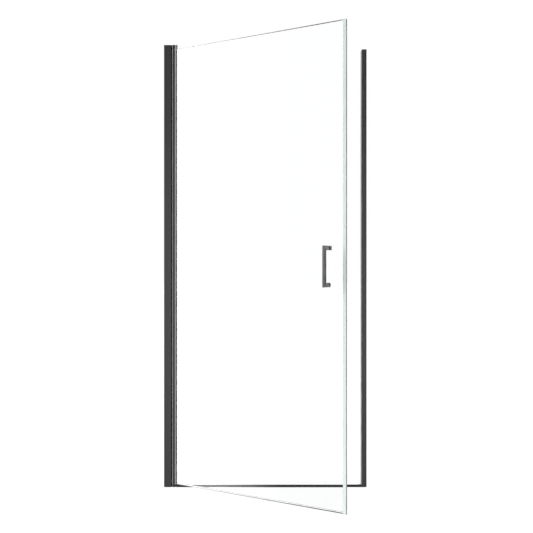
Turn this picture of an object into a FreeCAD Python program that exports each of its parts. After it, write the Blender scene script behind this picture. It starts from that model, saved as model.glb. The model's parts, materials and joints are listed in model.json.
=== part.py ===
import FreeCAD, Part
import math
import os

# Pivot shower door for a niche: a fixed frame with one swinging glass door. All lengths are millimetres.
# The origin is on the hinge-side wall face, at floor level and at mid-depth of the frame.
# +X runs along the closed door to the strike side, +Y points into the shower and +Z points up.
# The door is modelled closed and then turned about its pivot to the angle at which it stands open.

Vector = FreeCAD.Vector

# Overall sizes
overall_width = 893.5
overall_height = 1950.0
strike_height = 1931.0
open_angle = 29.3
match_share = 1e-6

# Fits and clearances
overrun = 2.0
static_fit = 0.05
running_fit = 0.05
screw_hole_clearance = 0.2
channel_fit = 0.2
channel_end_gap = 0.4
pivot_gap = 0.3
seat_gap = 0.4
wiper_gap = 0.3
strip_lift = 0.6
profile_lift = 5.0
seal_lift = 4.0
fin_gap = 6.3
closing_gap = 0.5
threshold_gap = 0.5
strip_fit = 0.1
magnet_fit = 0.1
tongue_fit = 0.1
sleeve_fit = 0.2
profile_cap_gap = 0.5
profile_cap_tongue_gap = 0.3

# Jambs and wall channels
jamb_depth = 18.0
jamb_wall = 1.8
jamb_reveal = 6.0
hinge_jamb_width = 27.3
strike_jamb_width = 15.1
strike_edge_round = 1.0
nose_chamfer_along = 1.3
nose_chamfer_across = 3.0
nose_cavity_length = 3.0
channel_web = 2.0
channel_wall = 1.6
wall_hole_radius = 2.5
wall_hole_end_distance = 119.0
wall_hole_inner_spacing = 560.0

# Barrel seat and wiper
swing_clearance = 4.3
barrel_radius = 9.8
wiper_groove_depth = 1.6
wiper_groove_width = 3.0

# Pivot blocks, bushes and pins
pivot_block_thickness = 7.5
top_cover_height = 4.5
cover_wall = 1.5
cover_round = 0.8
cover_lip = 0.5
block_floor = 1.6
pin_radius = 3.0
pin_engagement = 30.0
pin_end_gap = 0.5
port_wall = 1.45
bush_wall = 1.95
bush_flange_inset = 2.0
bush_flange_thickness = 1.7
lug_wall = 4.75

# Screws, with cross recesses
screw_radius = 1.55
screw_head_radius = 3.2
pan_head_height = 1.6
jamb_screw_length = 9.0
block_screw_grip = 20.0
recess_length = 3.4
recess_width = 0.8
recess_depth = 0.9
port_edge_distance = 4.6
port_boss_wall = 1.6
jamb_screw_height_shares = (0.06, 0.35, 0.65, 0.94)
screw_cap_clearance = 0.3
screw_cap_wall = 0.9
screw_cap_round = 1.0

# Strike strip, its magnet and the strike cap
pocket_width = 10.0
pocket_depth = 4.5
strip_protrusion = 3.8
strip_wall = 1.2
magnet_end_inset = 4.0
strike_cap_height = 6.0

# Threshold
threshold_height = 7.0
threshold_depth = 18.0
threshold_wall = 1.4
threshold_chamfer = 2.0
hinge_end_cap_length = 14.0
strike_end_cap_length = 20.0
end_cap_tongue = 8.0
ramp_rise = 2.0

# Glass, hinge profile and gasket
glass_thickness = 6.0
glass_arris = 0.6
glass_top_inset = 4.5
gasket_side = 0.6
gasket_base = 1.0
gasket_lip = 0.8
clamp_wall = 1.1
clamp_reach = 17.0
clamp_edge_round = 0.6
profile_cap_overhang = 0.4

# Seals on the glass
seal_wall = 1.0
seal_grip = 5.6
seal_nose_round = 0.6
closing_magnet_width = 4.8
closing_magnet_back_gap = 1.5
drip_wall = 1.0
drip_base = 1.5
drip_grip = 5.5
drip_start_gap = 2.0
drip_end_gap = 1.6
fin_length = 1.8
fin_thickness = 1.2
vane_reach = 5.0
vane_drop = 2.3
vane_thickness = 1.0

# Handle
handle_height = 973.2
handle_spacing = 145.0
handle_setback = 63.9
handle_stand_off = 46.9
handle_width = 10.0
handle_depth = 17.0
handle_edge_round = 0.6
collar_lip = 0.25
collar_length = 13.0
handle_washer_thickness = 1.0
washer_inset = 0.5
sleeve_wall = 1.5
bolt_radius = 2.5
bolt_in_post = 12.0
bolt_end_gap = 0.5
knob_length = 9.3
knob_end_wall = 2.0
knob_round = 1.0
flush_head_gain = 1.5
sleeve_flange_lip = 1.0
sleeve_flange_thickness = 0.8

# Thickness of the glass, its clamp and its seals, as half sizes about the door's mid-plane
glass_half = glass_thickness / 2
slot_half = glass_half + gasket_side
clamp_half = slot_half + clamp_wall
seal_half = glass_half + seal_wall
drip_half = glass_half + drip_wall

# Hinge side, worked out along X from the wall to the pivot axis
jamb_half = jamb_depth / 2
jamb_inner_half = jamb_half - jamb_wall
channel_half = jamb_inner_half - channel_fit
channel_inner_half = channel_half - channel_wall
nose_x = jamb_reveal + hinge_jamb_width
shoulder_x = nose_x - nose_chamfer_along
nose_half = jamb_half - nose_chamfer_across
axis_x = nose_x + clamp_half + swing_clearance
seat_radius = barrel_radius + seat_gap
wiper_floor_x = axis_x - seat_radius - wiper_groove_depth
nose_cavity_end_x = wiper_floor_x - jamb_wall
nose_cavity_start_x = nose_cavity_end_x - nose_cavity_length
cross_web_x = nose_cavity_start_x - jamb_wall
hinge_channel_end_x = cross_web_x - channel_end_gap
port_radius = screw_radius + static_fit
port_offset = jamb_half - port_edge_distance
port_x = (nose_cavity_start_x + nose_cavity_end_x) / 2
hinge_screw_x = (jamb_reveal + hinge_channel_end_x) / 2

# Strike side
strike_jamb_end_x = overall_width - jamb_reveal
strike_face_x = strike_jamb_end_x - strike_jamb_width
pocket_half = pocket_width / 2
pocket_floor_x = strike_face_x + pocket_depth
strike_channel_end_x = pocket_floor_x + jamb_wall + channel_end_gap
strike_screw_x = (strike_channel_end_x + strike_jamb_end_x) / 2
strip_face_x = strike_face_x - strip_protrusion
strike_frame_top = strike_height - strike_cap_height

# Pivot stack, worked out along Z
block_top = overall_height - top_cover_height
frame_top = block_top - pivot_block_thickness
door_top = frame_top - bush_flange_thickness - pivot_gap
door_bottom = threshold_height + profile_lift
foot_height = door_bottom - pivot_gap - bush_flange_thickness
bush_bore_radius = pin_radius + running_fit
bush_radius = bush_bore_radius + bush_wall
bush_flange_radius = barrel_radius - bush_flange_inset
lug_radius = bush_radius + static_fit + lug_wall
cover_radius = lug_radius + cover_lip

# Threshold, along X and Z
threshold_start_x = axis_x + lug_radius + threshold_gap
threshold_bar_start_x = threshold_start_x + hinge_end_cap_length
threshold_bar_end_x = strike_face_x - strike_end_cap_length
ramp_top = threshold_height + ramp_rise
threshold_half = threshold_depth / 2

# Closed door, along X from the pivot axis to the seal's tip
slot_start_x = axis_x + pin_radius + static_fit + port_wall
glass_start_x = slot_start_x + gasket_base
clamp_end_x = axis_x + clamp_reach
seal_tip_x = strip_face_x - closing_gap
closing_magnet_end_x = seal_tip_x - seal_wall - magnet_fit
closing_magnet_start_x = closing_magnet_end_x - closing_magnet_width
glass_end_x = closing_magnet_start_x - closing_magnet_back_gap - seal_wall
seal_start_x = glass_end_x - seal_grip
seal_bottom = ramp_top + seal_lift
fin_bottom = threshold_height + fin_gap
clip_bottom = fin_bottom + fin_length
glass_bottom = clip_bottom + drip_base
glass_top = door_top - glass_top_inset

# Handle, across the glass: the outer side is -Y
handle_x = glass_end_x - handle_setback
handle_half_width = handle_width / 2
handle_half_depth = handle_depth / 2
lower_level = handle_height - handle_spacing / 2
upper_level = handle_height + handle_spacing / 2
handle_levels = (lower_level, upper_level)
bolt_hole_radius = bolt_radius + static_fit
sleeve_radius = bolt_hole_radius + sleeve_wall
glass_hole_radius = sleeve_radius + sleeve_fit
collar_face_y = -glass_half - handle_washer_thickness
post_face_y = collar_face_y - collar_length
bar_centre_y = -glass_half - handle_stand_off
bar_front_y = bar_centre_y - handle_half_depth
bolt_start_y = post_face_y - bolt_in_post
knob_face_y = glass_half + handle_washer_thickness
knob_end_y = knob_face_y + knob_length
bolt_end_y = knob_end_y - knob_end_wall
flange_face_y = glass_half + static_fit
flush_face_y = flange_face_y + sleeve_flange_thickness
flush_head_radius = bolt_radius + flush_head_gain

# Snap caps over the jamb screws
screw_cap_inner_radius = screw_head_radius + screw_cap_clearance
screw_cap_inner_y = jamb_half + pan_head_height + screw_cap_clearance


def block(low_x, high_x, low_y, high_y, low_z, high_z):
    corner = Vector(low_x, low_y, low_z)
    return Part.makeBox(high_x - low_x, high_y - low_y, high_z - low_z, corner)


def slab(low_x, high_x, half_y, low_z, high_z):
    return block(low_x, high_x, -half_y, half_y, low_z, high_z)


def upright(radius, x, y, low_z, high_z):
    return Part.makeCylinder(radius, high_z - low_z, Vector(x, y, low_z))


def across(radius, x, z, low_y, high_y):
    return Part.makeCylinder(radius, high_y - low_y, Vector(x, low_y, z), Vector(0, 1, 0))


def along(radius, y, z, low_x, high_x):
    return Part.makeCylinder(radius, high_x - low_x, Vector(low_x, y, z), Vector(1, 0, 0))


def prism(corners, travel):
    outline = Part.makePolygon(corners + corners[:1])
    return Part.Face(outline).extrude(travel)


def edges_at(solid, axis_name, place):
    """The edges of a solid that lie wholly in the plane where one coordinate has this value."""
    found = []
    for edge in solid.Edges:
        middle = edge.valueAt((edge.FirstParameter + edge.LastParameter) / 2)
        points = [vertex.Point for vertex in edge.Vertexes] + [middle]
        if all(math.isclose(getattr(point, axis_name), place, rel_tol=match_share) for point in points):
            found.append(edge)
    return found


def upright_edges_at(solid, x):
    edges = edges_at(solid, "x", x)
    return [edge for edge in edges if math.isclose(edge.Vertexes[0].Y, edge.Vertexes[-1].Y)]


def edges_along(solid, heading):
    """The straight edges of a block that run along this direction."""
    found = []
    for edge in solid.Edges:
        span = edge.Vertexes[-1].Point - edge.Vertexes[0].Point
        if math.isclose(abs(span.dot(heading)), span.Length, rel_tol=match_share):
            found.append(edge)
    return found


def jamb_screw_levels(height):
    return [height * share for share in jamb_screw_height_shares]


def wall_hole_levels(height):
    middle = height / 2
    spread = wall_hole_inner_spacing / 2
    return (wall_hole_end_distance, middle - spread, middle + spread, height - wall_hole_end_distance)


# Wall channels: U-sections with four wall holes and pilot holes for the jamb screws

def wall_channel(wall_x, web_x, end_x, height, screw_x):
    low_x, high_x = min(wall_x, end_x), max(wall_x, end_x)
    channel = slab(low_x, high_x, channel_half, 0, height)
    inner_low, inner_high = (web_x, end_x + overrun) if end_x > wall_x else (end_x - overrun, web_x)
    channel = channel.cut(slab(inner_low, inner_high, channel_inner_half, -overrun, height + overrun))
    hole_low, hole_high = min(wall_x, web_x) - overrun, max(wall_x, web_x) + overrun
    for level in wall_hole_levels(height):
        channel = channel.cut(along(wall_hole_radius, 0, level, hole_low, hole_high))
    for level in jamb_screw_levels(height):
        pilot = across(port_radius, screw_x, level, channel_inner_half - overrun, channel_half + overrun)
        channel = channel.cut(pilot)
    return channel


# Hinge jamb: wraps over its channel and has a round seat, a wiper groove and two screw ports

def nosed_outline(start_x, low_z, high_z):
    half = [(start_x, jamb_half), (shoulder_x, jamb_half), (nose_x, nose_half)]
    corners = [Vector(x, y, low_z) for x, y in half]
    corners += [Vector(x, -y, low_z) for x, y in reversed(half)]
    return prism(corners, Vector(0, 0, high_z - low_z))


def jamb_screw_holes(screw_x, height):
    radius = screw_radius + screw_hole_clearance
    low_y = jamb_inner_half - overrun
    high_y = jamb_half + overrun
    return [across(radius, screw_x, level, low_y, high_y) for level in jamb_screw_levels(height)]


def make_hinge_jamb():
    cut_low, cut_high = foot_height - overrun, frame_top + overrun
    cavity_half = port_offset - port_radius - port_boss_wall
    jamb = nosed_outline(jamb_reveal, foot_height, frame_top)
    cuts = [slab(jamb_reveal - overrun, cross_web_x, jamb_inner_half, cut_low, cut_high)]
    cuts.append(slab(nose_cavity_start_x, nose_cavity_end_x, cavity_half, cut_low, cut_high))
    cuts.append(upright(seat_radius, axis_x, 0, cut_low, cut_high))
    cuts.append(slab(wiper_floor_x, axis_x, wiper_groove_width / 2, cut_low, cut_high))
    cuts += [upright(port_radius, port_x, side * port_offset, cut_low, cut_high) for side in (-1, 1)]
    return jamb.cut(cuts + jamb_screw_holes(hinge_screw_x, frame_top))


def make_barrel_wiper_seal():
    half = wiper_groove_width / 2 - static_fit
    strip = slab(wiper_floor_x, axis_x, half, foot_height, frame_top)
    barrel_room = upright(barrel_radius + wiper_gap, axis_x, 0, foot_height - overrun, frame_top + overrun)
    return strip.cut(barrel_room)


# Pivot blocks: plates whose lugs reach out over the pivot axis and hold the bushes

def rounded_top(solid, top_z):
    return solid.makeFillet(cover_round, edges_at(solid, "z", top_z))


def countersunk(radius_gain, y, head_z, grip):
    """A countersunk screw, or the room for one: head at head_z, shank grip long towards its tip."""
    way = 1 if grip > 0 else -1
    cone_height = screw_head_radius - screw_radius
    shank_radius, head_radius = screw_radius + radius_gain, screw_head_radius + radius_gain
    centre, heading = Vector(port_x, y, head_z), Vector(0, 0, way)
    head = Part.makeCone(head_radius, shank_radius, cone_height, centre, heading)
    shank = Part.makeCylinder(shank_radius, abs(grip), centre, heading)
    return head.fuse(shank).removeSplitter()


def cross_recess(centre, across_head):
    """Two crossed slots for a screwdriver, centred on a screw head's face."""
    long_half, short_half = recess_length / 2, recess_width / 2
    slots = []
    for half_a, half_b in ((long_half, short_half), (short_half, long_half)):
        if across_head:
            size = Vector(half_a, recess_depth, half_b)
        else:
            size = Vector(half_a, half_b, recess_depth)
        corner = centre - size
        slots.append(Part.makeBox(size.x + size.x, size.y + size.y, size.z + size.z, corner))
    return slots[0].fuse(slots[1])


def make_top_pivot_block():
    lug = upright(lug_radius, axis_x, 0, frame_top, block_top)
    bridge = slab(shoulder_x, axis_x, nose_half, frame_top, block_top)
    plate = nosed_outline(0, frame_top, block_top).fuse([bridge, lug]).removeSplitter()
    bore = upright(bush_radius + static_fit, axis_x, 0, frame_top - overrun, block_top + overrun)
    grip = -pivot_block_thickness - overrun
    screw_rooms = [countersunk(static_fit, side * port_offset, block_top, grip) for side in (-1, 1)]
    return plate.cut([bore] + screw_rooms)


def make_hinge_top_cover():
    jamb_cover = rounded_top(nosed_outline(0, block_top, overall_height), overall_height)
    lug_cover = rounded_top(upright(cover_radius, axis_x, 0, block_top, overall_height), overall_height)
    low_z, high_z = block_top - overrun, overall_height - cover_wall
    jamb_room = slab(cover_wall, shoulder_x, jamb_half - cover_wall, low_z, high_z)
    lug_room = upright(cover_radius - cover_wall, axis_x, 0, low_z, high_z)
    return jamb_cover.fuse(lug_cover).removeSplitter().cut([jamb_room, lug_room])


def make_bottom_pivot_block():
    lug = upright(lug_radius, axis_x, 0, 0, foot_height)
    bridge = slab(shoulder_x, axis_x, nose_half, 0, foot_height)
    foot = nosed_outline(jamb_reveal, 0, foot_height).fuse([bridge, lug]).removeSplitter()
    room = slab(jamb_reveal - overrun, cross_web_x, jamb_inner_half, -overrun, foot_height + overrun)
    bore = upright(bush_radius + static_fit, axis_x, 0, block_floor, foot_height + overrun)
    grip = foot_height + overrun
    screw_rooms = [countersunk(static_fit, side * port_offset, 0, grip) for side in (-1, 1)]
    return foot.cut([room, bore] + screw_rooms)


def make_pivot_block_screws():
    screws = []
    for side in (-1, 1):
        y = side * port_offset
        top = countersunk(0, y, block_top, -pivot_block_thickness - block_screw_grip)
        screws.append(top.cut(cross_recess(Vector(port_x, y, block_top), False)))
        bottom = countersunk(0, y, 0, foot_height + block_screw_grip)
        screws.append(bottom.cut(cross_recess(Vector(port_x, y, 0), False)))
    return Part.makeCompound(screws)


def pivot_bush(seat_z, end_z, flange_z):
    """A flanged bush whose body runs from seat_z to end_z and whose flange runs on to flange_z."""
    low_z, high_z = min(end_z, flange_z), max(end_z, flange_z)
    body = upright(bush_radius, axis_x, 0, low_z, high_z)
    flange = upright(bush_flange_radius, axis_x, 0, min(seat_z, flange_z), max(seat_z, flange_z))
    bore = upright(bush_bore_radius, axis_x, 0, low_z - overrun, high_z + overrun)
    return body.fuse(flange).cut(bore).removeSplitter()


def make_top_pivot_bush():
    return pivot_bush(frame_top, block_top, frame_top - bush_flange_thickness)


def make_bottom_pivot_bush():
    return pivot_bush(foot_height, block_floor, foot_height + bush_flange_thickness)


# Screws through the jambs on the shower side, under snap caps

def jamb_screws(screw_x, height):
    screws = []
    for level in jamb_screw_levels(height):
        shank = across(screw_radius, screw_x, level, jamb_half - jamb_screw_length, jamb_half)
        head = across(screw_head_radius, screw_x, level, jamb_half, jamb_half + pan_head_height)
        recess = cross_recess(Vector(screw_x, jamb_half + pan_head_height, level), True)
        screws.append(shank.fuse(head).cut(recess))
    return Part.makeCompound(screws)


def screw_caps(screw_x, height):
    caps = []
    face_y = screw_cap_inner_y + screw_cap_wall
    for level in jamb_screw_levels(height):
        cap = across(screw_cap_inner_radius + screw_cap_wall, screw_x, level, jamb_half, face_y)
        cap = cap.makeFillet(screw_cap_round, edges_at(cap, "y", face_y))
        inside = across(screw_cap_inner_radius, screw_x, level, jamb_half - overrun, screw_cap_inner_y)
        caps.append(cap.cut(inside))
    return Part.makeCompound(caps)


# Strike side: a jamb with a pocket for the magnetic strip that the door closes against

def make_strike_jamb():
    cut_low, cut_high = -overrun, strike_frame_top + overrun
    jamb = slab(strike_face_x, strike_jamb_end_x, jamb_half, 0, strike_frame_top)
    jamb = jamb.makeFillet(strike_edge_round, upright_edges_at(jamb, strike_face_x))
    inside_low_x, inside_high_x = strike_face_x + jamb_wall, strike_jamb_end_x + overrun
    inside = slab(inside_low_x, inside_high_x, jamb_inner_half, cut_low, cut_high)
    pocket_wall_half = pocket_half + jamb_wall
    pocket_wall = slab(strike_face_x, pocket_floor_x + jamb_wall, pocket_wall_half, 0, strike_frame_top)
    pocket = slab(strike_face_x - overrun, pocket_floor_x, pocket_half, cut_low, cut_high)
    jamb = jamb.cut(inside).fuse(pocket_wall).cut(pocket).removeSplitter()
    return jamb.cut(jamb_screw_holes(strike_screw_x, strike_frame_top))


def strip_span():
    return ramp_top + strip_lift, strike_frame_top


def make_strike_seal_strip():
    low_z, high_z = strip_span()
    end_x = pocket_floor_x - strip_fit
    half = pocket_half - strip_fit
    strip = slab(strip_face_x, end_x, half, low_z, high_z)
    chamber_low_x, chamber_high_x = strip_face_x + strip_wall, end_x - strip_wall
    chamber = slab(chamber_low_x, chamber_high_x, half - strip_wall, low_z - overrun, high_z + overrun)
    return strip.cut(chamber)


def make_strike_magnet():
    low_z, high_z = strip_span()
    inset = strip_wall + magnet_fit
    end_x = pocket_floor_x - strip_fit - inset
    half = pocket_half - strip_fit - inset
    return slab(strip_face_x + inset, end_x, half, low_z + magnet_end_inset, high_z - magnet_end_inset)


def make_strike_top_cap():
    cap = slab(strike_face_x, overall_width, jamb_half, strike_frame_top, strike_height)
    cap = rounded_top(cap, strike_height)
    low_x, high_x = strike_face_x + cover_wall, overall_width - cover_wall
    inside_half = jamb_half - cover_wall
    return cap.cut(slab(low_x, high_x, inside_half, strike_frame_top - overrun, strike_height - cover_wall))


# Threshold: a hollow bar on the floor, with end caps whose tongues sit in the bar

def threshold_section(inset, low_x, high_x):
    chamfer = threshold_chamfer - inset * (2 - math.sqrt(2))
    half, top = threshold_half - inset, threshold_height - inset
    right = [(half, inset), (half, top - chamfer), (half - chamfer, top)]
    corners = [Vector(low_x, y, z) for y, z in right]
    corners += [Vector(low_x, -y, z) for y, z in reversed(right)]
    return prism(corners, Vector(high_x - low_x, 0, 0))


def make_threshold_bar():
    bar = threshold_section(0, threshold_bar_start_x, threshold_bar_end_x)
    cut_low, cut_high = threshold_bar_start_x - overrun, threshold_bar_end_x + overrun
    return bar.cut(threshold_section(threshold_wall, cut_low, cut_high))


def end_ramp(foot_x, head_x):
    """A wedge on the bar's flat top that rises from foot_x to head_x."""
    half = threshold_half - threshold_chamfer
    wedge = [(foot_x, threshold_height), (head_x, threshold_height), (head_x, ramp_top)]
    return prism([Vector(x, -half, z) for x, z in wedge], Vector(0, half + half, 0))


def make_threshold_end_cap_hinge():
    cap = threshold_section(0, threshold_start_x, threshold_bar_start_x)
    inset = threshold_wall + tongue_fit
    tongue = threshold_section(inset, threshold_bar_start_x, threshold_bar_start_x + end_cap_tongue)
    return cap.fuse([tongue, end_ramp(threshold_bar_start_x, threshold_start_x)]).removeSplitter()


def make_threshold_end_cap_strike():
    cap = threshold_section(0, threshold_bar_end_x, strike_face_x)
    inset = threshold_wall + tongue_fit
    tongue = threshold_section(inset, threshold_bar_end_x - end_cap_tongue, threshold_bar_end_x)
    return cap.fuse([tongue, end_ramp(threshold_bar_end_x, strike_face_x)]).removeSplitter()


# Door: hinge profile, gasket and glass

def make_door_hinge_profile():
    cut_low, cut_high = door_bottom - overrun, door_top + overrun
    clamp = slab(axis_x, clamp_end_x, clamp_half, door_bottom, door_top)
    clamp = clamp.makeFillet(clamp_edge_round, upright_edges_at(clamp, clamp_end_x))
    profile = upright(barrel_radius, axis_x, 0, door_bottom, door_top).fuse(clamp)
    slot = slab(slot_start_x, clamp_end_x + overrun, slot_half, cut_low, cut_high)
    port = upright(pin_radius + static_fit, axis_x, 0, cut_low, cut_high)
    return profile.cut([slot, port]).removeSplitter()


def make_profile_top_cap():
    """A cap on the clamp's upper end, beside the round lug, with a tongue between the gasket's lips."""
    end_x = clamp_end_x + profile_cap_overhang
    cap = slab(axis_x, end_x, clamp_half, door_top, overall_height)
    cap = cap.makeFillet(cover_round, upright_edges_at(cap, end_x) + edges_at(cap, "z", overall_height))
    lug_room = upright(cover_radius + profile_cap_gap, axis_x, 0, door_top, overall_height + overrun)
    tongue_bottom = glass_top + profile_cap_tongue_gap
    tongue = slab(glass_start_x + static_fit, clamp_end_x, glass_half, tongue_bottom, door_top)
    return cap.cut(lug_room).fuse(tongue).removeSplitter()


def make_glass_gasket():
    lip_x = clamp_end_x + gasket_lip
    lining = slab(slot_start_x, lip_x, slot_half, door_bottom, door_top)
    cut_low, cut_high = door_bottom - overrun, door_top + overrun
    room_half = glass_half + static_fit
    return lining.cut(slab(glass_start_x, lip_x + overrun, room_half, cut_low, cut_high))


def make_door_glass():
    pane = slab(glass_start_x, glass_end_x, glass_half, glass_bottom, glass_top)
    pane = pane.makeChamfer(glass_arris, pane.Edges)
    reach = glass_half + overrun
    return pane.cut([across(glass_hole_radius, handle_x, level, -reach, reach) for level in handle_levels])


def make_top_pivot_pin():
    return upright(pin_radius, axis_x, 0, door_top - pin_engagement, block_top - pin_end_gap)


def make_bottom_pivot_pin():
    return upright(pin_radius, axis_x, 0, block_floor + pin_end_gap, door_bottom + pin_engagement)


# Seals clipped on the glass

def make_closing_seal():
    cut_low, cut_high = seal_bottom - overrun, glass_top + overrun
    seal = slab(seal_start_x, seal_tip_x, seal_half, seal_bottom, glass_top)
    seal = seal.makeFillet(seal_nose_round, upright_edges_at(seal, seal_tip_x))
    grip_end_x, grip_half = glass_end_x + static_fit, glass_half + static_fit
    grip = slab(seal_start_x - overrun, grip_end_x, grip_half, cut_low, cut_high)
    chamber_low_x, chamber_high_x = glass_end_x + seal_wall, seal_tip_x - seal_wall
    chamber = slab(chamber_low_x, chamber_high_x, seal_half - seal_wall, cut_low, cut_high)
    return seal.cut([grip, chamber])


def make_closing_magnet():
    half = seal_half - seal_wall - magnet_fit
    low_z, high_z = seal_bottom + magnet_end_inset, glass_top - magnet_end_inset
    return slab(closing_magnet_start_x, closing_magnet_end_x, half, low_z, high_z)


def make_drip_seal():
    low_x, high_x = clamp_end_x + drip_start_gap, seal_start_x - drip_end_gap
    clip_top = glass_bottom + drip_grip
    clip = slab(low_x, high_x, drip_half, clip_bottom, clip_top)
    room_half, room_bottom = glass_half + static_fit, glass_bottom - static_fit
    clip = clip.cut(slab(low_x - overrun, high_x + overrun, room_half, room_bottom, clip_top + overrun))
    fin = slab(low_x, high_x, fin_thickness / 2, fin_bottom, clip_bottom)
    vane_tip_y = drip_half + vane_reach
    vane_corners = [(drip_half, clip_bottom), (vane_tip_y, clip_bottom - vane_drop)]
    vane_corners += [(y, z + vane_thickness) for y, z in reversed(vane_corners)]
    vane = prism([Vector(low_x, y, z) for y, z in vane_corners], Vector(high_x - low_x, 0, 0))
    return clip.fuse([fin, vane]).removeSplitter()


# Handle: a mitred flat bar on two posts of the same section, clamped through the glass

def handle_block(gain, level, low_y, high_y):
    """A block of the handle's section, larger all round by gain, that crosses the glass at one level."""
    half_x, half_z = handle_half_width + gain, handle_half_depth + gain
    return block(handle_x - half_x, handle_x + half_x, low_y, high_y, level - half_z, level + half_z)


def bolt_hole(level, low_y, high_y):
    return across(bolt_hole_radius, handle_x, level, low_y, high_y)


def mitre_side(corner_z):
    """The prism on the post's side of the upper mitre plane, which halves the right angle there."""
    reach = handle_spacing / 2
    corners = [(-reach, reach), (reach, -reach), (reach, reach)]
    points = [Vector(handle_x - reach, bar_centre_y + y, corner_z + z) for y, z in corners]
    return prism(points, Vector(reach + reach, 0, 0))


def turned_over(shape):
    """The same shape on the handle's lower half."""
    return shape.mirror(Vector(0, 0, handle_height), Vector(0, 0, 1))


def make_handle_bar():
    low_x, high_x = handle_x - handle_half_width, handle_x + handle_half_width
    low_z, high_z = lower_level - handle_half_depth, upper_level + handle_half_depth
    bar = block(low_x, high_x, bar_front_y, bar_front_y + handle_depth, low_z, high_z)
    bar = bar.makeFillet(handle_edge_round, edges_along(bar, Vector(0, 0, 1)))
    side = mitre_side(upper_level)
    return bar.cut([side, turned_over(side)])


def make_handle_post_top():
    post = handle_block(0, upper_level, bar_front_y, post_face_y)
    post = post.makeFillet(handle_edge_round, edges_along(post, Vector(0, 1, 0)))
    socket_y = post_face_y - bolt_in_post - bolt_end_gap
    socket = bolt_hole(upper_level, socket_y, post_face_y + overrun)
    return post.common(mitre_side(upper_level)).cut(socket)


def make_handle_post_bottom():
    return turned_over(make_handle_post_top())


def handle_pad(gain, level, low_y, high_y):
    """A block of about the handle's section, with a hole for the clamping bolt."""
    return handle_block(gain, level, low_y, high_y).cut(bolt_hole(level, low_y - overrun, high_y + overrun))


def make_handle_collars():
    low_y, high_y = post_face_y, collar_face_y
    return Part.makeCompound([handle_pad(collar_lip, level, low_y, high_y) for level in handle_levels])


def make_handle_outer_washers():
    low_y, high_y = collar_face_y, -glass_half - static_fit
    return Part.makeCompound([handle_pad(-washer_inset, level, low_y, high_y) for level in handle_levels])


def make_handle_inner_washer():
    return handle_pad(-washer_inset, upper_level, flange_face_y, knob_face_y)


# The upper fixing ends in a knob on the shower side, the lower one in a flush countersunk screw

def flush_screw(radius_gain):
    """The lower fixing's screw, or the room for it, with its head flush in the sleeve's flange."""
    shank_radius, head_radius = bolt_radius + radius_gain, flush_head_radius + radius_gain
    centre = Vector(handle_x, flush_face_y, lower_level)
    head = Part.makeCone(head_radius, shank_radius, flush_head_gain, centre, Vector(0, -1, 0))
    shank = across(shank_radius, handle_x, lower_level, bolt_start_y, flush_face_y)
    return head.fuse(shank).removeSplitter()


def make_handle_sleeves():
    upper = across(sleeve_radius, handle_x, upper_level, -glass_half, glass_half)
    upper = upper.cut(bolt_hole(upper_level, -glass_half - overrun, glass_half + overrun))
    body = across(sleeve_radius, handle_x, lower_level, -glass_half, flush_face_y)
    flange_radius = glass_hole_radius + sleeve_flange_lip
    flange = across(flange_radius, handle_x, lower_level, flange_face_y, flush_face_y)
    lower = body.fuse(flange).removeSplitter().cut(flush_screw(static_fit))
    return Part.makeCompound([upper, lower])


def make_handle_bolts():
    upper = across(bolt_radius, handle_x, upper_level, bolt_start_y, bolt_end_y)
    recess = cross_recess(Vector(handle_x, flush_face_y, lower_level), True)
    return Part.makeCompound([upper, flush_screw(0).cut(recess)])


def make_handle_inner_knob():
    knob = handle_block(0, upper_level, knob_face_y, knob_end_y)
    knob = knob.makeFillet(knob_round, edges_at(knob, "y", knob_end_y))
    return knob.cut(bolt_hole(upper_level, knob_face_y - overrun, bolt_end_y + bolt_end_gap))


frame_pieces = {
    "hinge_wall_channel": wall_channel(0, channel_web, hinge_channel_end_x, frame_top, hinge_screw_x),
    "hinge_jamb": make_hinge_jamb(),
    "barrel_wiper_seal": make_barrel_wiper_seal(),
    "top_pivot_block": make_top_pivot_block(),
    "hinge_top_cover": make_hinge_top_cover(),
    "bottom_pivot_block": make_bottom_pivot_block(),
    "top_pivot_bush": make_top_pivot_bush(),
    "bottom_pivot_bush": make_bottom_pivot_bush(),
    "pivot_block_screws": make_pivot_block_screws(),
    "hinge_jamb_screws": jamb_screws(hinge_screw_x, frame_top),
    "hinge_screw_caps": screw_caps(hinge_screw_x, frame_top),
    "strike_wall_channel": wall_channel(
        overall_width, overall_width - channel_web, strike_channel_end_x, strike_frame_top, strike_screw_x
    ),
    "strike_jamb": make_strike_jamb(),
    "strike_seal_strip": make_strike_seal_strip(),
    "strike_magnet": make_strike_magnet(),
    "strike_top_cap": make_strike_top_cap(),
    "strike_jamb_screws": jamb_screws(strike_screw_x, strike_frame_top),
    "strike_screw_caps": screw_caps(strike_screw_x, strike_frame_top),
    "threshold_bar": make_threshold_bar(),
    "threshold_end_cap_hinge": make_threshold_end_cap_hinge(),
    "threshold_end_cap_strike": make_threshold_end_cap_strike(),
}

door_pieces = {
    "door_hinge_profile": make_door_hinge_profile(),
    "profile_top_cap": make_profile_top_cap(),
    "glass_gasket": make_glass_gasket(),
    "door_glass": make_door_glass(),
    "top_pivot_pin": make_top_pivot_pin(),
    "bottom_pivot_pin": make_bottom_pivot_pin(),
    "closing_seal": make_closing_seal(),
    "closing_magnet": make_closing_magnet(),
    "drip_seal": make_drip_seal(),
    "handle_bar": make_handle_bar(),
    "handle_post_top": make_handle_post_top(),
    "handle_post_bottom": make_handle_post_bottom(),
    "handle_collars": make_handle_collars(),
    "handle_outer_washers": make_handle_outer_washers(),
    "handle_inner_washer": make_handle_inner_washer(),
    "handle_sleeves": make_handle_sleeves(),
    "handle_bolts": make_handle_bolts(),
    "handle_inner_knob": make_handle_inner_knob(),
}

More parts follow.
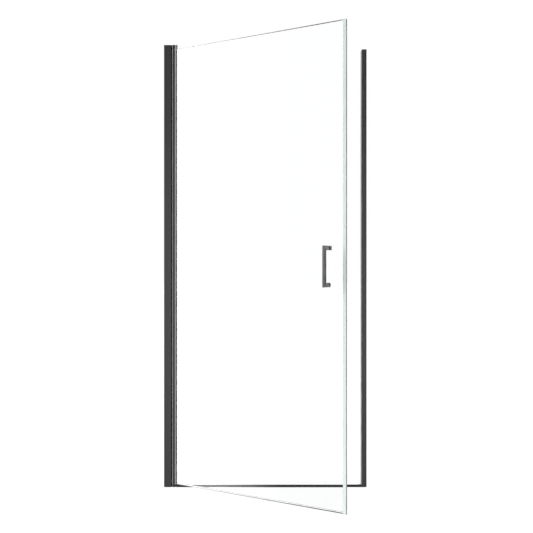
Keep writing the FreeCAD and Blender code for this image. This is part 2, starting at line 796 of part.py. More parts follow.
pivot_line = Vector(axis_x, 0, 0)
for shape in door_pieces.values():
    shape.rotate(pivot_line, Vector(0, 0, 1), -open_angle)

os.makedirs("parts", exist_ok=True)
for name, shape in {**frame_pieces, **door_pieces}.items():
    print(name, "solids", len(shape.Solids), "volume", round(shape.Volume), "valid", shape.isValid())
    shape.exportStep(f"parts/{name}.step")
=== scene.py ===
# %% [markdown]
# # A pivot shower door, dressed in Blender
# The CAD model already gives every profile, screw and seal its true shape and place, so nothing is moved
# here. What is left for Blender is how the pieces look: satin black profiles, one large clear pane, milky
# seals and a gunmetal handle. We start by loading the imported model and keeping its box.

# %% Load the imported model
import json
import math

import bmesh
import bpy
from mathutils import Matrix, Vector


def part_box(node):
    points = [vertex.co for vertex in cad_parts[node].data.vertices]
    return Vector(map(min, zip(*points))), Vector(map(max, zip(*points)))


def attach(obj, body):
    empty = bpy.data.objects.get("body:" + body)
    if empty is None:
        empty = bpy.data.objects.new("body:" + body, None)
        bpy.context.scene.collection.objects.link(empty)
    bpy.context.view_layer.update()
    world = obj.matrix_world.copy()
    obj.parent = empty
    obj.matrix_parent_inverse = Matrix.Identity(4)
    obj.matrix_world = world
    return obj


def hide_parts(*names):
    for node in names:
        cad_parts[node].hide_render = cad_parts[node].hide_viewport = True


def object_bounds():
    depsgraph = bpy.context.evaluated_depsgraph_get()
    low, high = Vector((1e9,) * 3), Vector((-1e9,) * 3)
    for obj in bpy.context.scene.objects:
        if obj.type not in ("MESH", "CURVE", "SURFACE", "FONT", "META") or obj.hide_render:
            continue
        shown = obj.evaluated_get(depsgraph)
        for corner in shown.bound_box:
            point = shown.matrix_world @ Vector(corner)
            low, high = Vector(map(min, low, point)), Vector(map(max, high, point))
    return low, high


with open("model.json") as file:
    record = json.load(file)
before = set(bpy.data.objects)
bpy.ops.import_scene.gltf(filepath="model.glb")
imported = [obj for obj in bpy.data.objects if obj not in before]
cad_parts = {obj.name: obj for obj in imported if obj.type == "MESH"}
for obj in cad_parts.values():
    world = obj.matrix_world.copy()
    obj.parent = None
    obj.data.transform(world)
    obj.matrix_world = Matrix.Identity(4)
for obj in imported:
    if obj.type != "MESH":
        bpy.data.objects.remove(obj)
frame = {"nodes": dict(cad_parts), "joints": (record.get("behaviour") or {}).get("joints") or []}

pieces = frame["nodes"]
cad_box = [list(corner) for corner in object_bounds()]
print("loaded", len(pieces), "pieces in the box", cad_box)

# %% [markdown]
# ## The camera
# The photograph looks straight at the frame from a little above half its height. The upright profiles
# stay parallel in it, so the camera is level. How much the open door grows towards the viewer gives the
# distance and the focal length. A focal length in pixels becomes a lens in millimetres when it is scaled
# to the sensor. A new camera looks down, so a quarter turn about X makes it look along +Y.

# %% Camera
picture_side = 533
focal_pixels = 732.8
camera_place = (0.452, -3.2405, 0.9731)
quarter_turn = math.radians(90)

camera_data = bpy.data.cameras.new("photo_camera")
camera_data.sensor_fit = "HORIZONTAL"
camera_data.lens = focal_pixels / picture_side * camera_data.sensor_width
camera = bpy.data.objects.new("photo_camera", camera_data)
camera.location = camera_place
camera.rotation_euler = (quarter_turn, 0, 0)
bpy.context.scene.collection.objects.link(camera)
bpy.context.scene.camera = camera
print("lens in millimetres", round(camera_data.lens, 2))

# %% [markdown]
# ## Wiring nodes with less typing
# Materials, the world and the shared groups are all node trees. A few small helpers keep the later cells
# short: one feeds a socket with a number or with another node's output, one does sums, one maps a range,
# and two go part of the way between values or colours. A Mix node has sockets for every kind of data, and
# its colours are found by number, because their labels repeat.

# %% Node helpers
def feed(tree, socket, value):
    if isinstance(value, bpy.types.NodeSocket):
        tree.links.new(value, socket)
    else:
        socket.default_value = value


def sum_of(tree, operation, *values):
    node = tree.nodes.new("ShaderNodeMath")
    node.operation = operation
    for socket, value in zip(node.inputs, values):
        feed(tree, socket, value)
    return node.outputs[0]


def ranged(tree, value, low, high, to_low=0.0, to_high=1.0, kind="SMOOTHSTEP"):
    node = tree.nodes.new("ShaderNodeMapRange")
    node.interpolation_type = kind
    for socket, number in zip(node.inputs, (value, low, high, to_low, to_high)):
        feed(tree, socket, number)
    return node.outputs[0]


def between(tree, share, first, second):
    return ranged(tree, share, 0.0, 1.0, first, second, kind="LINEAR")


def mixed(tree, share, first, second):
    node = tree.nodes.new("ShaderNodeMix")
    node.data_type = "RGBA"
    feed(tree, node.inputs[0], share)
    feed(tree, node.inputs[6], first)
    feed(tree, node.inputs[7], second)
    return node.outputs[2]


print("node helpers ready")

# %% [markdown]
# ### Colours and angles
# Node colours have four numbers, and most of the colours here are plain greys. Angles are easier to read
# in degrees.

# %% Colours and angles
def tint(red, green, blue):
    return red, green, blue, 1.0


def grey(value):
    return tint(value, value, value)


def angles(low, high):
    return math.radians(low), math.radians(high)


print("white is", grey(1.0))

# %% [markdown]
# ## The studio
# The photograph has a white backdrop and a tall soft light on the left, which draws the bright streaks on
# the rounded hinge profile. Lamps could do this, but their hard edges would show in the polished pane. A
# world shader can fade by direction instead. Every direction gets two measures: how far up it points, and
# its turn about the door, from the camera's side towards the left.

# %% Directions
world = bpy.data.worlds.new("studio")
world.use_nodes = True
bpy.context.scene.world = world
sky = world.node_tree
sky.nodes.clear()

heading = sky.nodes.new("ShaderNodeTexCoord").outputs["Generated"]
split = sky.nodes.new("ShaderNodeSeparateXYZ")
feed(sky, split.inputs[0], heading)
east, north, up = split.outputs
west = sum_of(sky, "MULTIPLY", east, -1.0)
south = sum_of(sky, "MULTIPLY", north, -1.0)
turn = sum_of(sky, "ARCTAN2", west, south)
print("world", world.name)

# %% [markdown]
# ### The soft light and the card
# The soft light rises from a weak shoulder to its full strength and fades again further round, so its
# streak on a round profile has no hard edge. A weaker card at the right rear lights the sides of the
# handle. Both stand upright like real studio lights, and fade out overhead and underfoot.

# %% Soft light and card
softbox_strength = 18.0
softbox_rise = angles(63, 74)
softbox_steepness = 2.0
softbox_end = angles(80, 92)
shoulder_strength = 3.4
shoulder_rise = angles(57, 63.5)
card_strength = 1.8
card_rise = angles(-160, -135)
card_end = angles(-110, -80)
overhead_fade = (0.55, 0.85)

softbox = sum_of(sky, "POWER", ranged(sky, turn, *softbox_rise, kind="LINEAR"), softbox_steepness)
softbox = sum_of(sky, "MULTIPLY", softbox, softbox_strength)
softbox = sum_of(sky, "ADD", softbox, ranged(sky, turn, *shoulder_rise, 0.0, shoulder_strength))
softbox = sum_of(sky, "MULTIPLY", softbox, ranged(sky, turn, *softbox_end, 1.0, 0.0))
card = ranged(sky, turn, *card_end, card_strength, 0.0)
card = sum_of(sky, "MULTIPLY", card, ranged(sky, turn, *card_rise))
upright = ranged(sky, sum_of(sky, "ABSOLUTE", up), *overhead_fade, 1.0, 0.0)
lights = sum_of(sky, "MULTIPLY", sum_of(sky, "ADD", softbox, card), upright)
print("soft light and card made")

# %% [markdown]
# ### Glow and ground
# A broad glow on the camera's side, strongest a little below eye level, lies over the pane as a faint
# veil. It stops short of the soft light. Steep downward directions get a pale ground, so that the pane
# isn't smoky from above, and every other direction gets a little light.

# %% Glow and ground
glow_strength = (1.35, 0.4)
glow_drop = 0.06
glow_band = (0.05, 0.4)
glow_back = (0.1, 0.55)
glow_left = angles(30, 48)
ground_strength = 0.9
ground_fade = (-0.6, -0.37)
rest_strength = 0.12

off_level = sum_of(sky, "ABSOLUTE", sum_of(sky, "ADD", up, glow_drop))
glow = ranged(sky, off_level, *glow_band, *glow_strength)
glow = sum_of(sky, "MULTIPLY", glow, ranged(sky, north, *glow_back, 1.0, 0.0))
glow = sum_of(sky, "MULTIPLY", glow, ranged(sky, turn, *glow_left, 1.0, 0.0))
ground = ranged(sky, up, *ground_fade, ground_strength, rest_strength)
room = sum_of(sky, "ADD", sum_of(sky, "ADD", lights, glow), ground)
print("glow and ground made")

# %% [markdown]
# ### What each ray sees
# Camera rays, and rays that went straight through glass, see only the plain white backdrop. It is a
# little brighter through glass, to make up for the light that the pane holds back. Everything that is
# mirrored, in the pane's far face too, sees the room. Glossy Depth counts how often a ray was mirrored,
# so under a half means never.

# %% Rays
backdrop_through_glass = 1.085
half_mirroring = 0.5

rays = sky.nodes.new("ShaderNodeLightPath").outputs
unmirrored = sum_of(sky, "LESS_THAN", rays["Glossy Depth"], half_mirroring)
straight = sum_of(sky, "MULTIPLY", rays["Is Transmission Ray"], unmirrored)
through = sum_of(sky, "MULTIPLY", straight, backdrop_through_glass)
backdrop = sum_of(sky, "MAXIMUM", rays["Is Camera Ray"], through)
plain = sum_of(sky, "MAXIMUM", rays["Is Camera Ray"], straight)

background = sky.nodes.new("ShaderNodeBackground")
background.inputs["Color"].default_value = grey(1.0)
feed(sky, background.inputs["Strength"], between(sky, plain, room, backdrop))
feed(sky, sky.nodes.new("ShaderNodeOutputWorld").inputs["Surface"], background.outputs[0])
bpy.context.scene.view_settings.view_transform = "Standard"
print("studio light made")

# %% [markdown]
# ## The floor
# The door stands on a plain pale floor that melts into the backdrop. It is a single square, so large that
# its far edge lies close to the horizon, and it isn't part of the door.

# %% Floor
floor_half = 40.0
floor_drop = 0.0004
square = ((-1, -1), (1, -1), (1, 1), (-1, 1))

floor_mesh = bpy.data.meshes.new("floor")
corners = [(x * floor_half, y * floor_half, -floor_drop) for x, y in square]
floor_mesh.from_pydata(corners, [], [(0, 1, 2, 3)])
floor = bpy.data.objects.new("floor", floor_mesh)
bpy.context.scene.collection.objects.link(floor)
floor.visible_glossy = False
floor.visible_diffuse = False
print("floor of", 2 * floor_half, "metres")

# %% [markdown]
# ### The floor's finish
# A floor lit only by the room would come out grey, so most of what the camera sees of it glows like a
# light table, a little more through glass. A weak matt part keeps a hint of shadow. Mirrored rays pass
# through it to the studio light, which has its own pale ground, so no horizon shows in the pane.

# %% Floor finish
floor_unseen = 0.1
floor_seen = 0.95
floor_through_glass = 0.985
floor_matt = 0.14

floor_finish = bpy.data.materials.new("pale_floor")
floor_finish.use_nodes = True
tree = floor_finish.node_tree
tree.nodes.clear()
rays = tree.nodes.new("ShaderNodeLightPath").outputs
light_table = tree.nodes.new("ShaderNodeEmission")
seen = between(tree, rays["Is Camera Ray"], floor_unseen, floor_seen)
through = sum_of(tree, "MULTIPLY", rays["Is Transmission Ray"], floor_through_glass)
feed(tree, light_table.inputs["Strength"], sum_of(tree, "MAXIMUM", seen, through))
matt = tree.nodes.new("ShaderNodeBsdfDiffuse")
matt.inputs["Color"].default_value = grey(floor_matt)
solid = tree.nodes.new("ShaderNodeAddShader")
feed(tree, solid.inputs[0], light_table.outputs[0])
feed(tree, solid.inputs[1], matt.outputs[0])
absent = tree.nodes.new("ShaderNodeBsdfTransparent")
shown = tree.nodes.new("ShaderNodeMixShader")
feed(tree, shown.inputs[0], sum_of(tree, "GREATER_THAN", rays["Glossy Depth"], half_mirroring))
feed(tree, shown.inputs[1], solid.outputs[0])
feed(tree, shown.inputs[2], absent.outputs[0])
feed(tree, tree.nodes.new("ShaderNodeOutputMaterial").inputs["Surface"], shown.outputs[0])
floor_mesh.materials.append(floor_finish)
print("floor finish", floor_finish.name)

# %% [markdown]
# ## Shared effects
# Several finishes need the same things: the fine orange peel of a coating, the long lines a die leaves on
# an extrusion, and the uneven sheen that a wiping cloth leaves. Each is a node group with named sockets,
# built once. The coordinates are in metres, and noise rarely leaves the middle of its range.

# %% Group helpers
noise_span = (0.3, 0.7)


def new_group(name, inputs, outputs):
    group = bpy.data.node_groups.new(name, "ShaderNodeTree")
    for label, default in inputs.items():
        socket = group.interface.new_socket(name=label, in_out="INPUT", socket_type="NodeSocketFloat")
        socket.default_value = default
    for label in outputs:
        group.interface.new_socket(name=label, in_out="OUTPUT", socket_type="NodeSocketFloat")
    given = group.nodes.new("NodeGroupInput").outputs
    result = group.nodes.new("NodeGroupOutput").inputs
    return group, given, result


def place_of(tree, stretch=(1.0, 1.0, 1.0)):
    """Object coordinates in metres, squeezed or stretched along each axis."""
    place = tree.nodes.new("ShaderNodeTexCoord").outputs["Object"]
    scaled = tree.nodes.new("ShaderNodeVectorMath")
    scaled.operation = "MULTIPLY"
    feed(tree, scaled.inputs[0], place)
    feed(tree, scaled.inputs[1], stretch)
    return scaled.outputs[0]


def noise(tree, place, scale, detail=2.0, distortion=0.0):
    node = tree.nodes.new("ShaderNodeTexNoise")
    node.inputs["Detail"].default_value = detail
    node.inputs["Distortion"].default_value = distortion
    feed(tree, node.inputs["Vector"], place)
    feed(tree, node.inputs["Scale"], scale)
    return node.outputs["Fac"]


print("group helpers ready")

# %% [markdown]
# ### Coating peel
# A baked-on coating is never quite flat: it has a peel of about a millimetre, and broader blotches that are
# a little lighter. A picture of a coating would need unwrapping, so two noises at those sizes give the
# height for a bump and the tone for the colour.

# %% Coating peel group
blotches_per_metre = 60.0
blotch_share = 0.6

peel_group, given, result = new_group("coating_peel", {"Peels per metre": 900.0}, ["Tone", "Height"])
fine = noise(peel_group, place_of(peel_group), given["Peels per metre"])
coarse = noise(peel_group, place_of(peel_group), blotches_per_metre, detail=3.0)
feed(peel_group, result["Height"], fine)
feed(peel_group, result["Tone"], between(peel_group, blotch_share, fine, coarse))
print("group", peel_group.name)

# %% [markdown]
# ### Wiping marks
# Bathroom surfaces are wiped dry, which leaves broad, soft differences in sheen, longer up and down. A
# low, distorted noise is enough. It mostly changes roughness, so that the marks show where light glances
# off.

# %% Wiping marks group
mark_stretch = (1.0, 1.0, 0.45)
mark_span = (0.35, 0.65)

wipe_group, given, result = new_group("wiping_marks", {"Marks per metre": 9.0}, ["Mask"])
place = place_of(wipe_group, mark_stretch)
smear = noise(wipe_group, place, given["Marks per metre"], detail=4.0, distortion=1.5)
feed(wipe_group, result["Mask"], ranged(wipe_group, smear, *mark_span))
print("group", wipe_group.name)

# %% [markdown]
# ### Drawn lines
# An extruded or brushed surface has fine parallel lines. Noise becomes lines when one axis is squeezed
# almost to nothing. Profiles run up or along the floor, so one group is made for each run of the lines.

# %% Drawn lines groups
squeeze = 0.004


def drawn_lines(name, stretch):
    group, given, result = new_group(name, {"Lines per metre": 700.0}, ["Tone", "Height"])
    lines = noise(group, place_of(group, stretch), given["Lines per metre"], detail=4.0)
    feed(group, result["Height"], lines)
    feed(group, result["Tone"], ranged(group, lines, *noise_span))
    print("group", group.name)
    return group


upright_lines = drawn_lines("lines_up", (1.0, 1.0, squeeze))
level_lines = drawn_lines("lines_along", (squeeze, 1.0, 1.0))

# %% [markdown]
# ### A measure along the door
# Some finishes change from the pivot to the door's free edge. Object coordinates turn with the door, so
# the distance along it is a dot product with the direction in which the door stands at rest. The frame's
# joint tells where the pivot is and how far the door is open. The group maps a stretch of that distance
# to a mask.

# %% Along-door group
hinge = frame["joints"][0]
pivot_x = hinge["pos_m"][0]
open_angle = math.radians(-hinge["range_deg"][0])
door_way = (math.cos(open_angle), -math.sin(open_angle), 0.0)

door_group, given, result = new_group("along_door", {"Start": 0.0, "End": 1.0}, ["Mask"])
run = door_group.nodes.new("ShaderNodeVectorMath")
run.operation = "DOT_PRODUCT"
feed(door_group, run.inputs[0], place_of(door_group))
feed(door_group, run.inputs[1], door_way)
distance = sum_of(door_group, "SUBTRACT", run.outputs["Value"], pivot_x * door_way[0])
along = ranged(door_group, distance, given["Start"], given["End"], kind="LINEAR")
feed(door_group, result["Mask"], along)
print("group", door_group.name, "from x", pivot_x)

# %% [markdown]
# ### A measure of height
# The seals also change from bottom to top, so a second group does the same with height above the floor.

# %% Height group
height_group, given, result = new_group("up_the_door", {"Low": 0.0, "High": 1.0}, ["Mask"])
rise = height_group.nodes.new("ShaderNodeSeparateXYZ")
feed(height_group, rise.inputs[0], place_of(height_group))
climb = ranged(height_group, rise.outputs["Z"], given["Low"], given["High"], kind="LINEAR")
feed(height_group, result["Mask"], climb)
print("group", height_group.name)

# %% [markdown]
# ## Making a finish
# Every finish is a material with one Principled shader. The helpers below start it with the plain
# numbers, which sit on the shader's own sockets, and add what changes over the surface: colour, sheen and
# bumps.

# %% Finish helpers
def new_finish(name, **plain):
    material = bpy.data.materials.new(name)
    material.use_nodes = True
    shader = material.node_tree.nodes["Principled BSDF"]
    for label, value in plain.items():
        shader.inputs[label.replace("_", " ")].default_value = value
    return material.node_tree, shader, material


def effect(tree, group, **values):
    node = tree.nodes.new("ShaderNodeGroup")
    node.node_tree = group
    for label, value in values.items():
        node.inputs[label.replace("_", " ")].default_value = value
    return node.outputs


def coloured(tree, shader, mask, dark, light):
    feed(tree, shader.inputs["Base Color"], mixed(tree, mask, dark, light))


def sheen(tree, shader, mask, smooth, rough, span=(0.0, 1.0)):
    feed(tree, shader.inputs["Roughness"], ranged(tree, mask, *span, smooth, rough))


def bumped(tree, shader, height, depth):
    bump = tree.nodes.new("ShaderNodeBump")
    bump.inputs["Distance"].default_value = depth
    feed(tree, bump.inputs["Height"], height)
    feed(tree, shader.inputs["Normal"], bump.outputs[0])


def dress(material, *names):
    for name in names:
        for slot in pieces[name].material_slots:
            slot.material = material
    print(material.name, "on", len(names), "pieces")


print("finish helpers ready")

# %% [markdown]
# ## Satin black profiles
# The frame is extruded aluminium with a satin black coating. It isn't pure black: room light on the
# coating lifts it to a dark grey. A single colour would look like paper, so it drifts a little with the
# peel, and die lines run along each profile. The wall channels and the floor bar are a shade darker in
# the photograph, where they lie deeper in shade, so their darker mix is painted shade.

# %% Satin black
peel_share = 0.65


def satin_black(name, lines, dark, light):
    tree, shader, material = new_finish(name)
    peel = effect(tree, peel_group, Peels_per_metre=900.0)
    drawn = effect(tree, lines, Lines_per_metre=500.0)
    wiped = effect(tree, wipe_group, Marks_per_metre=7.0)
    tone = between(tree, peel_share, drawn["Tone"], peel["Tone"])
    coloured(tree, shader, tone, grey(dark), grey(light))
    sheen(tree, shader, wiped["Mask"], smooth=0.18, rough=0.23)
    bumped(tree, shader, sum_of(tree, "ADD", peel["Height"], drawn["Height"]), depth=0.00004)
    return material


profile_black = satin_black("profile_black", upright_lines, dark=0.012, light=0.02)
# Painted shade: the channels and the floor bar get darker mixes of the same coating for the shade they lie
# in.
channel_black_painted_shade = satin_black("channel_black_painted_shade", upright_lines, dark=0.005, light=0.009)
bar_black_painted_shade = satin_black("bar_black_painted_shade", level_lines, dark=0.005, light=0.009)
dress(profile_black, "hinge_jamb", "strike_jamb", "door_hinge_profile")
dress(channel_black_painted_shade, "hinge_wall_channel", "strike_wall_channel")
dress(bar_black_painted_shade, "threshold_bar")

# %% [markdown]
# ## Moulded black caps
# Covers, pivot blocks, caps and the lower bush are moulded in black plastic. A mould is spark-eroded,
# which leaves a fine, even texture. A finer peel than the coating's does that, a shade darker than the
# metal beside it.

# %% Moulded black
tree, shader, moulded_black = new_finish("moulded_black")
peel = effect(tree, peel_group, Peels_per_metre=2500.0)
wiped = effect(tree, wipe_group, Marks_per_metre=20.0)
coloured(tree, shader, peel["Tone"], dark=grey(0.009), light=grey(0.016))
sheen(tree, shader, wiped["Mask"], smooth=0.24, rough=0.32)
bumped(tree, shader, peel["Height"], depth=0.000015)
dress(
    moulded_black, "top_pivot_block", "hinge_top_cover", "bottom_pivot_block", "bottom_pivot_bush",
    "hinge_screw_caps", "strike_top_cap", "strike_screw_caps", "threshold_end_cap_hinge",
    "threshold_end_cap_strike", "profile_top_cap",
)

# %% [markdown]
# ## Black rubber
# The gasket that grips the glass and the wiper behind the barrel are soft rubber: nearly black, matt, and
# a little mottled by talc. The same noise drives colour and roughness, because talc is both paler and
# duller.

# %% Rubber
tree, shader, seal_rubber = new_finish("seal_rubber")
peel = effect(tree, peel_group, Peels_per_metre=1500.0)
coloured(tree, shader, peel["Tone"], dark=grey(0.01), light=tint(0.022, 0.022, 0.021))
sheen(tree, shader, peel["Tone"], smooth=0.65, rough=0.85, span=noise_span)
bumped(tree, shader, peel["Height"], depth=0.00005)
dress(seal_rubber, "barrel_wiper_seal", "glass_gasket")

# %% [markdown]
# ## The closing seal
# The strip on the pane's free edge is soft plastic, milky enough to hide what is behind it, with a pale
# cyan tint. Painted light makes it lighter near the floor, and its end face, which meets the strike
# side, is plain grey as painted shade.
# Splitting the mesh could set the end face apart, but the distance along the door finds it without a cut.

# %% Closing seal
seal_face = 0.0009
seal_points = [vertex.co for vertex in pieces["closing_seal"].data.vertices]
seal_tip = max((point.x - pivot_x) * door_way[0] + point.y * door_way[1] for point in seal_points)
frame_top = cad_box[1][2]

tree, shader, milky_plastic = new_finish("milky_plastic", Specular_IOR_Level=0.2, Alpha=0.96)
drawn = effect(tree, upright_lines, Lines_per_metre=900.0)
wiped = effect(tree, wipe_group, Marks_per_metre=14.0)
high = effect(tree, height_group, Low=0.0, High=frame_top)
end_face_painted_shade = effect(tree, door_group, Start=seal_tip - seal_face, End=seal_tip - seal_face / 2)
# Painted light: the low tint is lighter than the high one; the end face's plain grey is painted shade.
low_tint = mixed(tree, drawn["Tone"], tint(0.466, 0.52, 0.508), tint(0.496, 0.55, 0.538))
high_tint = mixed(tree, drawn["Tone"], tint(0.361, 0.414, 0.408), tint(0.391, 0.444, 0.438))
milk_with_painted_light = mixed(tree, high["Mask"], low_tint, high_tint)
feed(tree, shader.inputs["Base Color"], mixed(tree, end_face_painted_shade["Mask"], milk_with_painted_light, grey(0.1)))
sheen(tree, shader, wiped["Mask"], smooth=0.3, rough=0.42)
dress(milky_plastic, "closing_seal")
print("the seal ends", round(seal_tip, 4), "from the pivot")

# %% [markdown]
# ## The drip seal
# The strip under the pane is milky plastic: some of the light comes through it scattered and the rest
# comes back, so it stays pale even in front of the black bar. Rough transmission at a low weight does
# that. Its legs thin out upwards until they are almost clear. The lip under the glass lies in shade, and
# that shade is painted into its colour: a thin dark line that grows stronger towards the free edge.

# %% Drip seal
glass_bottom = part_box("door_glass")[0].z
lip_top = glass_bottom + 0.0019
lip_fade = 0.0004
milky_top = lip_top + 0.001
clear_start = milky_top + 0.002
clear_share = 0.1

tree, shader, drip_plastic = new_finish("drip_plastic", Transmission_Weight=0.3, IOR=1.2)
drawn = effect(tree, level_lines, Lines_per_metre=900.0)
wiped = effect(tree, wipe_group, Marks_per_metre=14.0)
above = effect(tree, height_group, Low=lip_top - lip_fade, High=lip_top)["Mask"]
thinner = effect(tree, height_group, Low=milky_top, High=clear_start)["Mask"]
painted_shade_along_door = effect(tree, door_group, Start=0.1, End=0.7)["Mask"]
legs = mixed(tree, drawn["Tone"], tint(0.93, 0.95, 0.94), tint(0.96, 0.98, 0.97))
# Painted shade: the lip darkens from pale grey to almost black towards the free edge.
lip_painted_shade = mixed(tree, painted_shade_along_door, grey(0.65), grey(0.005))
feed(tree, shader.inputs["Base Color"], mixed(tree, above, lip_painted_shade, legs))
feed(tree, shader.inputs["Alpha"], ranged(tree, thinner, 0.0, 1.0, 1.0, clear_share))
sheen(tree, shader, wiped["Mask"], smooth=0.45, rough=0.6)
dress(drip_plastic, "drip_seal")

# %% [markdown]
# ## Milky washers
# The washers between handle and glass are thin milky pads. Refraction through them would be slow and
# noisy, and they only veil what is behind them, so a half see-through surface does the job.

# %% Milky washers
veil = (0.5, 0.6)

tree, shader, clear_plastic = new_finish("clear_plastic", Roughness=0.3)
peel = effect(tree, peel_group, Peels_per_metre=900.0)
coloured(tree, shader, peel["Tone"], dark=tint(0.8, 0.82, 0.81), light=tint(0.88, 0.9, 0.89))
feed(tree, shader.inputs["Alpha"], ranged(tree, peel["Tone"], *noise_span, *veil))
dress(clear_plastic, "handle_outer_washers", "handle_inner_washer")

# %% [markdown]
# ## The strike strip
# The strip that the door closes against is the same soft plastic in grey, to suit the black jamb that
# holds it. It lies in the jamb's shade, so it needs no see-through part.

# %% Strike strip
tree, shader, grey_plastic = new_finish("grey_plastic")
drawn = effect(tree, upright_lines, Lines_per_metre=900.0)
wiped = effect(tree, wipe_group, Marks_per_metre=14.0)
coloured(tree, shader, drawn["Tone"], dark=grey(0.34), light=grey(0.4))
sheen(tree, shader, wiped["Mask"], smooth=0.35, rough=0.45)
dress(grey_plastic, "strike_seal_strip")

# %% [markdown]
# ## Magnet strips
# The magnets in the strips are ferrite powder in a pale plastic sheath, with the fine specks of that
# powder. They hardly show, so one noise for colour, sheen and bumps is enough.

# %% Magnet sheath
tree, shader, magnet_sheath = new_finish("magnet_sheath")
peel = effect(tree, peel_group, Peels_per_metre=1800.0)
coloured(tree, shader, peel["Tone"], dark=tint(0.5, 0.53, 0.52), light=tint(0.62, 0.65, 0.64))
sheen(tree, shader, peel["Tone"], smooth=0.5, rough=0.65, span=noise_span)
bumped(tree, shader, peel["Height"], depth=0.00003)
dress(magnet_sheath, "closing_magnet", "strike_magnet")

# %% [markdown]
# ## The upper bush
# The lower bush is moulded like its block. The upper one, in the gap over the barrel, is black acetal, a
# slippery plastic that needs no oil: matt, with faint flow marks from moulding. Its very dark colour is
# painted shade, for the shade in the gap over the barrel. Small, dense wiping marks look much like flow
# marks.

# %% Acetal
tree, shader, black_acetal_painted_shade = new_finish("black_acetal_painted_shade", Specular_IOR_Level=0.2)
wiped = effect(tree, wipe_group, Marks_per_metre=60.0)
# Painted shade: the colour is kept very dark for the shade in the gap.
coloured(tree, shader, wiped["Mask"], dark=grey(0.004), light=grey(0.008))
sheen(tree, shader, wiped["Mask"], smooth=0.62, rough=0.8)
dress(black_acetal_painted_shade, "top_pivot_bush")

# %% [markdown]
# ## Nylon sleeves
# The sleeves that keep the handle's bolts off the glass are natural nylon, warm white and waxy. Light
# scattered under the surface would be truer, but they sit inside the pane's holes, where it would only
# cost time.

# %% Nylon
tree, shader, natural_nylon = new_finish("natural_nylon")
wiped = effect(tree, wipe_group, Marks_per_metre=60.0)
coloured(tree, shader, wiped["Mask"], dark=tint(0.68, 0.67, 0.62), light=tint(0.76, 0.75, 0.71))
sheen(tree, shader, wiped["Mask"], smooth=0.38, rough=0.5)
dress(natural_nylon, "handle_sleeves")

# %% [markdown]
# ## Steel pins and screws
# Pins and screws are stainless steel, turned on a lathe, so they carry fine tool lines. Lines in colour,
# sheen and bumps show on heads as small as these, where stretched highlights wouldn't.

# %% Turned steel
tree, shader, turned_steel = new_finish("turned_steel", Metallic=1.0)
drawn = effect(tree, level_lines, Lines_per_metre=2500.0)
coloured(tree, shader, drawn["Tone"], dark=tint(0.5, 0.5, 0.49), light=tint(0.6, 0.6, 0.59))
sheen(tree, shader, drawn["Tone"], smooth=0.24, rough=0.36)
bumped(tree, shader, drawn["Height"], depth=0.00002)
dress(
    turned_steel, "top_pivot_pin", "bottom_pivot_pin", "pivot_block_screws", "hinge_jamb_screws",
    "strike_jamb_screws", "handle_bolts",
)

# %% [markdown]
# ## The gunmetal handle
# The handle is lighter than the frame: brushed metal with a grey coating. Brushing runs along the bar and
# the posts. Posts, bar and collars are one metal, but each have their own shade in the photograph, so
# one function makes three finishes: the bar and the collars carry painted shade, the posts painted light.

# %% Gunmetal
def gunmetal(name, lines, dark, light):
    tree, shader, material = new_finish(name, Metallic=1.0)
    drawn = effect(tree, lines, Lines_per_metre=2200.0)
    wiped = effect(tree, wipe_group, Marks_per_metre=25.0)
    coloured(tree, shader, drawn["Tone"], grey(dark), grey(light))
    sheen(tree, shader, wiped["Mask"], smooth=0.55, rough=0.62)
    bumped(tree, shader, drawn["Height"], depth=0.00003)
    return material


# Painted light and shade: bar and collars are darker copies, the posts a lighter copy, of one metal.
bar_gunmetal_painted_shade = gunmetal("bar_gunmetal_painted_shade", upright_lines, dark=0.067, light=0.08)
post_gunmetal_painted_light = gunmetal("post_gunmetal_painted_light", level_lines, dark=0.15, light=0.17)
collar_gunmetal_painted_shade = gunmetal("collar_gunmetal_painted_shade", level_lines, dark=0.045, light=0.055)
dress(bar_gunmetal_painted_shade, "handle_bar")
dress(post_gunmetal_painted_light, "handle_post_top", "handle_post_bottom", "handle_inner_knob")
dress(collar_gunmetal_painted_shade, "handle_collars")

# %% [markdown]
# ## Clear glass
# Toughened glass is polished on its faces. A half see-through surface would be quicker, but full
# transmission bends and mirrors light as glass does, and mirrored light is what veils the floor bar in the
# photograph. The wiping marks make the glass very slightly uneven.

# %% Clear glass
tree, shader, clear_glass = new_finish("clear_glass", Transmission_Weight=1.0, IOR=1.5)
wiped = effect(tree, wipe_group, Marks_per_metre=5.0)
coloured(tree, shader, wiped["Mask"], dark=tint(0.985, 0.995, 0.99), light=tint(0.99, 0.998, 0.994))
sheen(tree, shader, wiped["Mask"], smooth=0.0, rough=0.012)
print("finish", clear_glass.name)

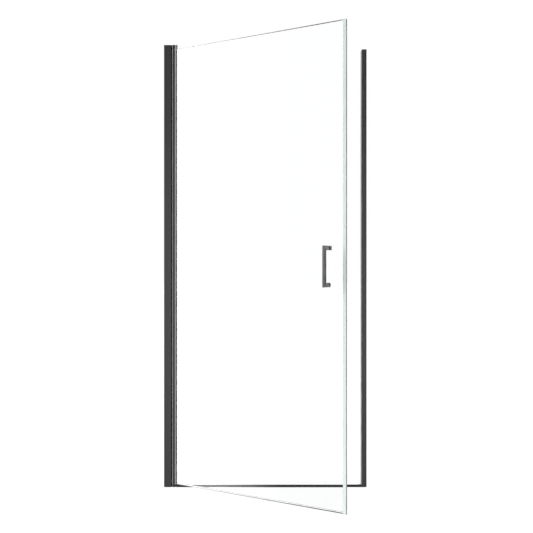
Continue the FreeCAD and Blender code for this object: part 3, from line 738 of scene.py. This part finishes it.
# %% [markdown]
# ## Ground edges
# The edges of the pane are ground, which leaves them matt. One grey would do for that, but in the
# photograph the line of the upper edge grows darker towards the free end. So the colour carries painted
# light and shade: a pale grey near the pivot, where the edge catches the soft light, turning to painted
# shade towards the free end.

# %% Ground edge
tree, shader, ground_edge = new_finish("ground_edge")
peel = effect(tree, peel_group, Peels_per_metre=3000.0)
painted_shade_along_door = effect(tree, door_group, Start=0.05, End=0.7)["Mask"]
painted_shade_grey = mixed(tree, peel["Tone"], grey(0.03), grey(0.05))
# Painted light near the pivot and painted shade towards the free end.
coloured(tree, shader, painted_shade_along_door, tint(0.5, 0.51, 0.51), painted_shade_grey)
sheen(tree, shader, peel["Tone"], smooth=0.4, rough=0.6, span=noise_span)
bumped(tree, shader, peel["Height"], depth=0.00003)
print("finish", ground_edge.name)

# %% [markdown]
# ## The pane
# Polished faces and ground edges need their own finishes, so a copy of the pane's mesh stands for it. A
# cut just under its top edge sets off the ground margin there. Every face of the margin, and every face
# that looks along the pane instead of through it, gets the ground finish.

# %% Pane
pane_normal = (-math.sin(open_angle), -math.cos(open_angle), 0.0)
faces_outward = 0.98
ground_margin = 0.0025
pane_finishes = [clear_glass, ground_edge]

pane_mesh = pieces["door_glass"].data.copy()
pane_mesh.materials.clear()
for finish in pane_finishes:
    pane_mesh.materials.append(finish)
margin_start = max(vertex.co.z for vertex in pane_mesh.vertices) - ground_margin
cutting = bmesh.new()
cutting.from_mesh(pane_mesh)
everything = cutting.verts[:] + cutting.edges[:] + cutting.faces[:]
bmesh.ops.bisect_plane(cutting, geom=everything, plane_co=(0, 0, margin_start), plane_no=(0, 0, 1))
cutting.to_mesh(pane_mesh)
cutting.free()
for face in pane_mesh.polygons:
    outward = abs(sum(a * b for a, b in zip(face.normal, pane_normal)))
    polished = outward > faces_outward and face.center.z < margin_start
    face.material_index = pane_finishes.index(clear_glass if polished else ground_edge)
pane = bpy.data.objects.new("glass_pane", pane_mesh)
bpy.context.scene.collection.objects.link(pane)
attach(pane, "door")
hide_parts("door_glass")
print("pane with", len(pane_mesh.polygons), "faces")
